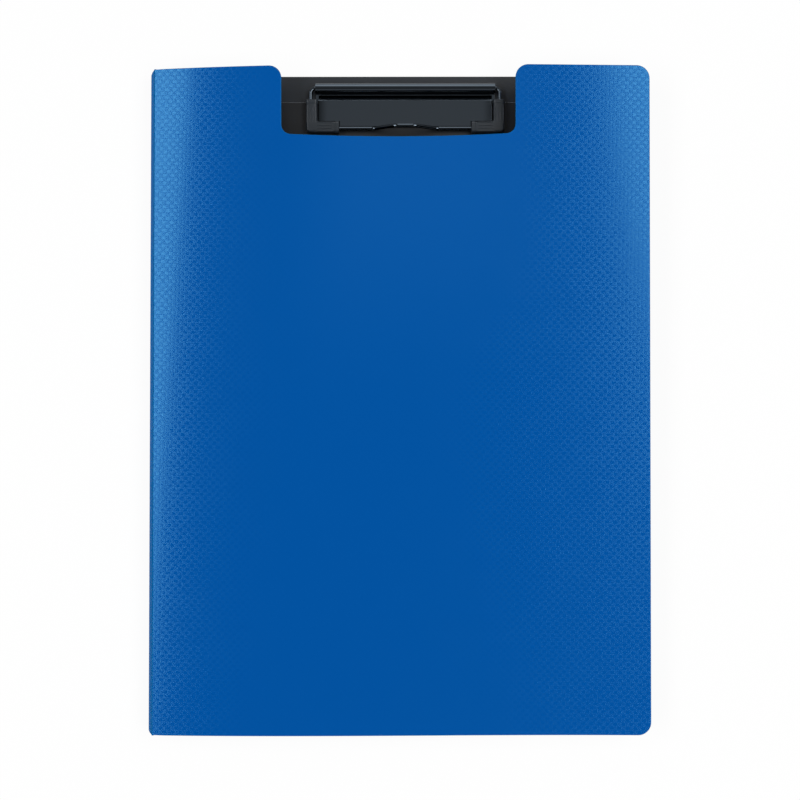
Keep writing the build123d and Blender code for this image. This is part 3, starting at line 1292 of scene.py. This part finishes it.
@dataclass
class Studio:
    """White table, soft lights and the camera that looks straight down."""

    table_size: float = 6000.0
    table_colour: str = "#e8e8e8"
    table_glow: float = 0.92
    table_roughness: float = 0.5
    lens: float = 55.33
    camera_place: Point = (1.71, -14.26, 596.4)
    camera_tilt: float = 0.0245
    camera_roll: float = -0.0009
    softboxes: tuple[Softbox, ...] = (
        Softbox("left_softbox", (-900, 0, 1200), (610, 1400), 6.5, turn=5),
        Softbox("right_softbox", (692, 0, 1200), (600, 1400), 6.1),
    )
    ambient: float = 0.2
    # What a mirroring surface sees: angles in degrees from straight up towards the clip's edge,
    # each with the room's level there. Sideways the level falls to the share beside_window, between
    # the two leans of window_fade.
    brightest: float = 3.6
    window_fade: tuple[float, float] = (0.08, 0.19)
    beside_window: float = 0.15
    mirrored_room: tuple[tuple[float, float], ...] = (
        (-180, 0.5),
        (-100, 1.4),
        (-65, 1.4),
        (-48, 0.5),
        (-30, 0.5),
        (-16, 0.05),
        (0, 0.05),
        (8, 0.6),
        (27, 0.6),
        (43, 1.8),
        (56, 3.6),
        (67, 3.6),
        (80, 0.6),
        (180, 0.5),
    )

    def build(self) -> None:
        """Set up the table, the world, the lights and the camera."""
        self.table()
        self.world()
        for softbox in self.softboxes:
            softbox.hang()
        self.camera()
        bpy.context.scene.view_settings.view_transform = "Standard"

    def camera(self) -> None:
        """Camera above the folder, a little towards its bottom edge."""
        data = bpy.data.cameras.new("overhead_camera")
        data.lens = self.lens
        camera = bpy.data.objects.new("overhead_camera", data)
        camera.location = Vector(self.camera_place) * MM
        camera.rotation_euler = (self.camera_tilt, 0, self.camera_roll)
        bpy.context.scene.collection.objects.link(camera)
        bpy.context.scene.camera = camera

    def table(self) -> None:
        """White table top, which shows white and keeps a light shadow."""
        half = self.table_size / 2 * MM
        mesh = bpy.data.meshes.new("table_top")
        corners = [(-half, -half, 0), (half, -half, 0), (half, half, 0), (-half, half, 0)]
        mesh.from_pydata(corners, [], [(0, 1, 2, 3)])
        material = bpy.data.materials.new("white_laminate")
        material.use_nodes = True
        tree = material.node_tree
        tree.nodes.clear()
        paint = {"Color": srgb(self.table_colour), "Roughness": self.table_roughness}
        surface = add_node(tree, "ShaderNodeBsdfDiffuse", paint)
        glow = add_node(tree, "ShaderNodeEmission", {"Color": srgb("#ffffff")})
        seen = self.any_ray(tree, ("Is Camera Ray", "Is Glossy Ray", "Is Transmission Ray"))
        glowing = {0: seen, 1: self.table_glow}
        share = add_node(tree, "ShaderNodeMath", glowing, operation="MULTIPLY")
        mixed = add_node(
            tree,
            "ShaderNodeMixShader",
            {0: share.outputs[0], 1: surface.outputs["BSDF"], 2: glow.outputs["Emission"]},
        )
        add_node(tree, "ShaderNodeOutputMaterial", {"Surface": mixed.outputs["Shader"]})
        table = add_object("table_top", mesh, material)

    def any_ray(self, tree: NodeTree, kinds: tuple[str, ...]) -> NodeSocket:
        """Tell whether a ray is of one of some kinds.

        Args:
            tree: The material's or the world's tree.
            kinds: The names of the Light Path outputs.

        Returns:
            A socket that is 1 for such a ray and 0 for any other.
        """
        path = add_node(tree, "ShaderNodeLightPath")
        found = path.outputs[kinds[0]]
        for kind in kinds[1:]:
            pair = {0: found, 1: path.outputs[kind]}
            found = add_node(tree, "ShaderNodeMath", pair, operation="MAXIMUM").outputs[0]
        return found

    def world(self) -> None:
        """White backdrop to the camera, a dim even room, and cards and a window to what mirrors."""
        world = bpy.data.worlds.new("studio")
        world.use_nodes = True
        tree = world.node_tree
        tree.nodes.clear()
        place = add_node(tree, "ShaderNodeTexCoord")
        axes = add_node(tree, "ShaderNodeSeparateXYZ", {"Vector": place.outputs["Generated"]})
        rise = {0: axes.outputs["Y"], 1: axes.outputs["Z"]}
        tilt = add_node(tree, "ShaderNodeMath", rise, operation="ARCTAN2")
        share = add_node(
            tree, "ShaderNodeMapRange", {"Value": tilt.outputs[0], "From Min": -pi, "From Max": pi}
        )
        room = add_node(tree, "ShaderNodeValToRGB", {"Fac": share.outputs["Result"]})
        # A new ramp has two stops, for the first two levels, and the others are added at its end.
        stops = room.color_ramp.elements
        for index, (angle, level) in enumerate(self.mirrored_room):
            if index > 1:
                stops.new(1.0)
            stops[-1 if index else 0].position = (angle + 180) / 360
            stops[-1 if index else 0].color = (*[level / self.brightest] * 3, 1)
        sideways = add_node(tree, "ShaderNodeMath", {0: axes.outputs["X"]}, operation="ABSOLUTE")
        window = add_node(
            tree,
            "ShaderNodeMapRange",
            {
                "Value": sideways.outputs[0],
                "From Min": self.window_fade[0],
                "From Max": self.window_fade[1],
                "To Min": self.brightest,
                "To Max": self.brightest * self.beside_window,
            },
        )
        levels = {0: room.outputs["Color"], 1: window.outputs["Result"]}
        bright = add_node(tree, "ShaderNodeMath", levels, operation="MULTIPLY")
        mirrored = self.any_ray(tree, ("Is Glossy Ray", "Is Transmission Ray"))
        parts = {0: mirrored, 2: self.ambient, 3: bright.outputs[0]}
        unseen = add_node(tree, "ShaderNodeMix", parts, data_type="FLOAT")
        seen = self.any_ray(tree, ("Is Camera Ray",))
        parts = {0: seen, 2: unseen.outputs[0], 3: 1.0}
        strength = add_node(tree, "ShaderNodeMix", parts, data_type="FLOAT")
        light = add_node(tree, "ShaderNodeBackground", {"Strength": strength.outputs[0]})
        light.inputs["Color"].default_value = (1, 1, 1, 1)
        add_node(tree, "ShaderNodeOutputWorld", {"Surface": light.outputs["Background"]})
        bpy.context.scene.world = world


def main() -> None:
    """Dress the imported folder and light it."""
    logging.basicConfig(level=logging.INFO, format="%(name)s: %(message)s")
    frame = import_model()
    Studio().build()
    # The spine is the same sheet as the covers. This copy of its finish, in its own blue and with
    # almost no reflection, is painted shade that keeps the leaning spine dim.
    shaded_spine_finish = EmbossedPolypropylene(
        "shaded_polypropylene_spine",
        colour="#0a5ea0",
        crest_roughness=0.6,
        groove_roughness=0.6,
        crest_specular=0.01,
        groove_specular=0.01,
    )
    sheet = CoverSheet(frame, EmbossedPolypropylene().build(), shaded_spine_finish.build())
    stack = BoardStack(
        frame,
        GrainedPlastic("matte_black_polypropylene", "#1f2328", 0.38).build(),
        GrainedPlastic("black_polyethylene_film", "#16181b", 0.4, grain_depth=0.01).build(),
        # A painted highlight: pale grey for the light line along the black film's cut edge.
        GrainedPlastic("painted_highlight_on_film_edge", "#666a6f", 0.5, grain_depth=0.01).build(),
    )
    clip = BailClip(
        frame,
        BlackPlatedSteel("black_plated_sheet_steel").build(),
        BlackPlatedSteel("black_plated_spring_wire").build(),
        GrainedPlastic("soft_black_vinyl", "#20262c", 0.34, grain_depth=0.005).build(),
    )
    for assembly in (sheet, stack, clip):
        for piece in assembly.build():
            report(piece)


if __name__ == "__main__":
    main()
